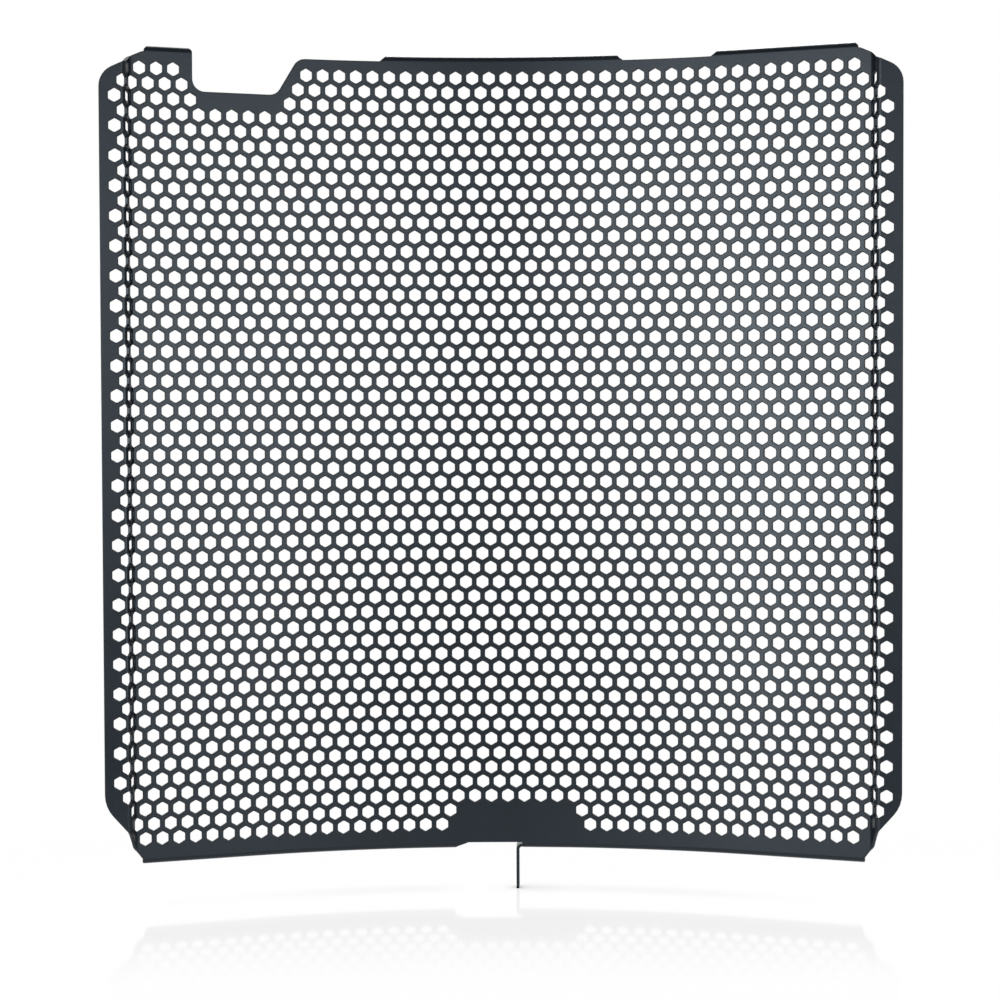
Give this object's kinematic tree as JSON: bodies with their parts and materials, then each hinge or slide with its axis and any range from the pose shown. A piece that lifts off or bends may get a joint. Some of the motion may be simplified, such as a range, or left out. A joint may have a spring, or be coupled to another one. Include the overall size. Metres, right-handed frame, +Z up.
{
  "type": "motorcycle radiator guard",
  "caption": "Rolled and folded sheet guard with a honeycomb of open cells, lips over the radiator's top and bottom, a neck cut-out and a bolt tab.",
  "frame": {"origin": "centre of the bolt hole in the tab below the bottom edge", "axes": "+X to the right as the guard is seen from the front and along the bolt hole, +Y back towards the radiator so that the front faces -Y, +Z up"},
  "size_m": [0.3703, 0.0659, 0.4033],
  "materials": {
    "powder_coated_sheet": "satin black powder coat with a blue-grey cast"
  },
  "bodies": {
    "root": {"guard": "powder_coated_sheet"}
  },
  "joints": []
}
